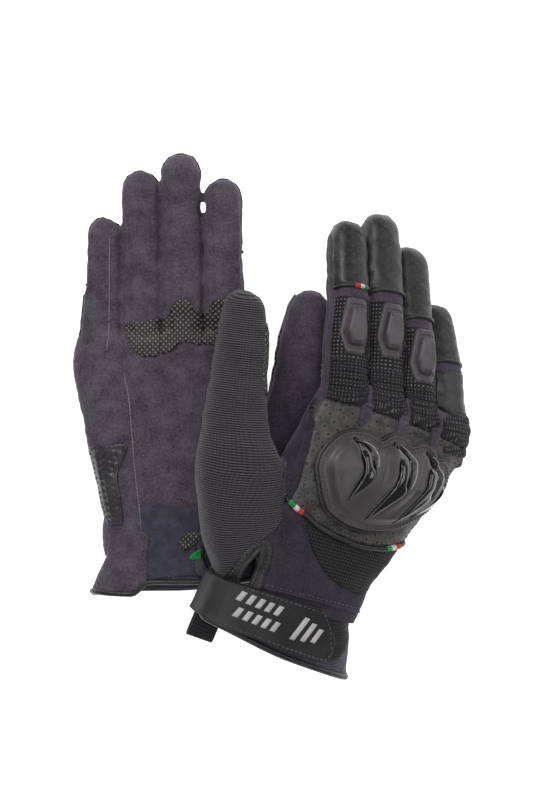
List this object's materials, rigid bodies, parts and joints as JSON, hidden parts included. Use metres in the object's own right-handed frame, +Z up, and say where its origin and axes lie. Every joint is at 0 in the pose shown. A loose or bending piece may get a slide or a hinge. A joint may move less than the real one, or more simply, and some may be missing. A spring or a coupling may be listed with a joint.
{
  "type": "riding gloves",
  "caption": "Short-cuff motorcycle riding gloves: one lies palm up, the other back up across it, with hinged fingers, thumb and peeling wrist strap",
  "frame": {"origin": "on the ground under the middle of the pair's box", "axes": "+Y towards the fingertips of the palm-up glove, +Z up, +X to the glove that lies back up"},
  "size_m": [0.2154, 0.2758, 0.1021],
  "materials": {
    "guard_shell": "satin moulded TPU",
    "vent_gloss": "gloss black",
    "piping_rubber": "smooth rubber piping",
    "perforated_leather": "perforated goat leather",
    "grip_rubber": "embossed grip",
    "mesh_fabric": "open air mesh",
    "foam": "closed-cell foam",
    "binding_leather": "folded leather edge",
    "strap_rubber": "rubber-faced strap",
    "webbing": "hook and loop tape and webbing",
    "cuff_neoprene": "laminated stretch neoprene",
    "thumb_knit": "ribbed stretch knit",
    "suede": "synthetic suede"
  },
  "bodies": {
    "rear_hand": {"rear_palm_panel": "suede", "rear_wrist_mesh": "mesh_fabric", "rear_back_panel": "perforated_leather", "rear_little_side_wall": "suede", "rear_thumb_side_wall": "thumb_knit", "rear_palm_grip_patch": "grip_rubber", "rear_heel_patch": "grip_rubber", "rear_cuff": "cuff_neoprene", "rear_cuff_binding": "binding_leather", "rear_loop_patch": "webbing", "rear_pull_tab": "webbing", "rear_knuckle_foam": "foam", "rear_knuckle_guard": "guard_shell", "rear_guard_vents": "vent_gloss", "rear_guard_piping": "piping_rubber", "rear_thumb_root": "thumb_knit"},
    "rear_strap": {"rear_wrist_strap": "strap_rubber", "rear_hook_patch": "webbing"},
    "rear_thumb": {"rear_thumb_stall": "thumb_knit"},
    "rear_index_base": {"rear_index_base_stall": "suede", "rear_index_armour": "guard_shell"},
    "rear_index_tip": {"rear_index_tip_stall": "suede"},
    "rear_middle_base": {"rear_middle_base_stall": "suede", "rear_middle_armour": "guard_shell"},
    "rear_middle_tip": {"rear_middle_tip_stall": "suede"},
    "rear_ring_base": {"rear_ring_base_stall": "suede", "rear_ring_armour": "guard_shell"},
    "rear_ring_tip": {"rear_ring_tip_stall": "suede"},
    "rear_little_base": {"rear_little_base_stall": "suede"},
    "rear_little_tip": {"rear_little_tip_stall": "suede"},
    "front_hand": {"front_palm_panel": "suede", "front_wrist_mesh": "mesh_fabric", "front_back_panel": "perforated_leather", "front_little_side_wall": "suede", "front_thumb_side_wall": "thumb_knit", "front_palm_grip_patch": "grip_rubber", "front_heel_patch": "grip_rubber", "front_cuff": "cuff_neoprene", "front_cuff_binding": "binding_leather", "front_loop_patch": "webbing", "front_pull_tab": "webbing", "front_knuckle_foam": "foam", "front_knuckle_guard": "guard_shell", "front_guard_vents": "vent_gloss", "front_guard_piping": "piping_rubber", "front_thumb_root": "thumb_knit"},
    "front_strap": {"front_wrist_strap": "strap_rubber", "front_hook_patch": "webbing"},
    "front_thumb": {"front_thumb_stall": "thumb_knit"},
    "front_index_base": {"front_index_base_stall": "suede", "front_index_armour": "guard_shell"},
    "front_index_tip": {"front_index_tip_stall": "suede"},
    "front_middle_base": {"front_middle_base_stall": "suede", "front_middle_armour": "guard_shell"},
    "front_middle_tip": {"front_middle_tip_stall": "suede"},
    "front_ring_base": {"front_ring_base_stall": "suede", "front_ring_armour": "guard_shell"},
    "front_ring_tip": {"front_ring_tip_stall": "suede"},
    "front_little_base": {"front_little_base_stall": "suede"},
    "front_little_tip": {"front_little_tip_stall": "suede"}
  },
  "joints": [
    {"name": "rear_strap_peel", "type": "hinge", "parent": "rear_hand", "child": "rear_strap", "pos_m": [-0.01242, -0.08636, 0.00426], "axis": [0, -0.9992, -0.041], "range_deg": [0, 150]},
    {"name": "rear_thumb_flex", "type": "hinge", "parent": "rear_hand", "child": "rear_thumb", "pos_m": [0.00358, -0.01825, 0.02747], "axis": [0.9848, -0.1735, -0.0071], "range_deg": [-5, 5]},
    {"name": "rear_index_knuckle", "type": "hinge", "parent": "rear_hand", "child": "rear_index_base", "pos_m": [-0.02722, 0.0397, 0.02985], "axis": [1, 0, 0], "range_deg": [-6, 28]},
    {"name": "rear_index_bend", "type": "hinge", "parent": "rear_index_base", "child": "rear_index_tip", "pos_m": [-0.02722, 0.08224, 0.03609], "axis": [1, 0, 0], "range_deg": [-4.1, 17.3]},
    {"name": "rear_middle_knuckle", "type": "hinge", "parent": "rear_hand", "child": "rear_middle_base", "pos_m": [-0.05022, 0.0407, 0.02989], "axis": [1, 0, 0], "range_deg": [-6, 70]},
    {"name": "rear_middle_bend", "type": "hinge", "parent": "rear_middle_base", "child": "rear_middle_tip", "pos_m": [-0.05022, 0.0872, 0.03672], "axis": [1, 0, 0], "range_deg": [-4.1, 42.5]},
    {"name": "rear_ring_knuckle", "type": "hinge", "parent": "rear_hand", "child": "rear_ring_base", "pos_m": [-0.07242, 0.0382, 0.02979], "axis": [1, 0, 0], "range_deg": [-6, 70]},
    {"name": "rear_ring_bend", "type": "hinge", "parent": "rear_ring_base", "child": "rear_ring_tip", "pos_m": [-0.07242, 0.08074, 0.03603], "axis": [1, 0, 0], "range_deg": [-4.1, 42.5]},
    {"name": "rear_little_knuckle", "type": "hinge", "parent": "rear_hand", "child": "rear_little_base", "pos_m": [-0.09542, 0.0317, 0.02952], "axis": [1, 0, 0], "range_deg": [-6, 70]},
    {"name": "rear_little_bend", "type": "hinge", "parent": "rear_little_base", "child": "rear_little_tip", "pos_m": [-0.09542, 0.06435, 0.03431], "axis": [1, 0, 0], "range_deg": [-4.1, 42.5]},
    {"name": "front_strap_peel", "type": "hinge", "parent": "front_hand", "child": "front_strap", "pos_m": [-0.02283, -0.09287, 0.09532], "axis": [-0.3866, -0.9161, 0.1059], "range_deg": [0, 150]},
    {"name": "front_thumb_flex", "type": "hinge", "parent": "front_hand", "child": "front_thumb", "pos_m": [-0.01569, -0.02232, 0.07488], "axis": [-0.9068, 0.0929, 0.4111], "range_deg": [-25, 0]},
    {"name": "front_index_knuckle", "type": "hinge", "parent": "front_hand", "child": "front_index_base", "pos_m": [0.03644, 0.01459, 0.05431], "axis": [-0.9048, 0.1102, 0.4114], "range_deg": [-9, 3]},
    {"name": "front_index_bend", "type": "hinge", "parent": "front_index_base", "child": "front_index_tip", "pos_m": [0.03913, 0.05715, 0.04882], "axis": [-0.9048, 0.1102, 0.4114], "range_deg": [-5.9, 2.3]},
    {"name": "front_middle_knuckle", "type": "hinge", "parent": "front_hand", "child": "front_middle_base", "pos_m": [0.05681, 0.00863, 0.0448], "axis": [-0.9048, 0.1102, 0.4114], "range_deg": [-10, 60]},
    {"name": "front_middle_bend", "type": "hinge", "parent": "front_middle_base", "child": "front_middle_tip", "pos_m": [0.0594, 0.05507, 0.03805], "axis": [-0.9048, 0.1102, 0.4114], "range_deg": [-6.5, 36.5]},
    {"name": "front_ring_knuckle", "type": "hinge", "parent": "front_hand", "child": "front_ring_base", "pos_m": [0.07602, -0.00062, 0.03556], "axis": [-0.9048, 0.1102, 0.4114], "range_deg": [-11, 60]},
    {"name": "front_ring_bend", "type": "hinge", "parent": "front_ring_base", "child": "front_ring_tip", "pos_m": [0.07808, 0.04178, 0.02872], "axis": [-0.9048, 0.1102, 0.4114], "range_deg": [-7.1, 36.5]},
    {"name": "front_little_knuckle", "type": "hinge", "parent": "front_hand", "child": "front_little_base", "pos_m": [0.09541, -0.01416, 0.02593], "axis": [-0.9048, 0.1102, 0.4114], "range_deg": [-12, 60]},
    {"name": "front_little_bend", "type": "hinge", "parent": "front_little_base", "child": "front_little_tip", "pos_m": [0.09675, 0.01831, 0.02016], "axis": [-0.9048, 0.1102, 0.4114], "range_deg": [-7.7, 36.5]},
    {"name": "lift_front_glove", "type": "slide", "parent": "rear_hand", "child": "front_hand", "axis": [0, 0, 1], "range_m": [0, 0.12]}
  ],
  "couplings": [
    {"joint": "rear_index_bend", "follows": "rear_index_knuckle", "ratio": 0.6},
    {"joint": "rear_middle_bend", "follows": "rear_middle_knuckle", "ratio": 0.6},
    {"joint": "rear_ring_bend", "follows": "rear_ring_knuckle", "ratio": 0.6},
    {"joint": "rear_little_bend", "follows": "rear_little_knuckle", "ratio": 0.6},
    {"joint": "front_index_bend", "follows": "front_index_knuckle", "ratio": 0.6},
    {"joint": "front_middle_bend", "follows": "front_middle_knuckle", "ratio": 0.6},
    {"joint": "front_ring_bend", "follows": "front_ring_knuckle", "ratio": 0.6},
    {"joint": "front_little_bend", "follows": "front_little_knuckle", "ratio": 0.6}
  ]
}
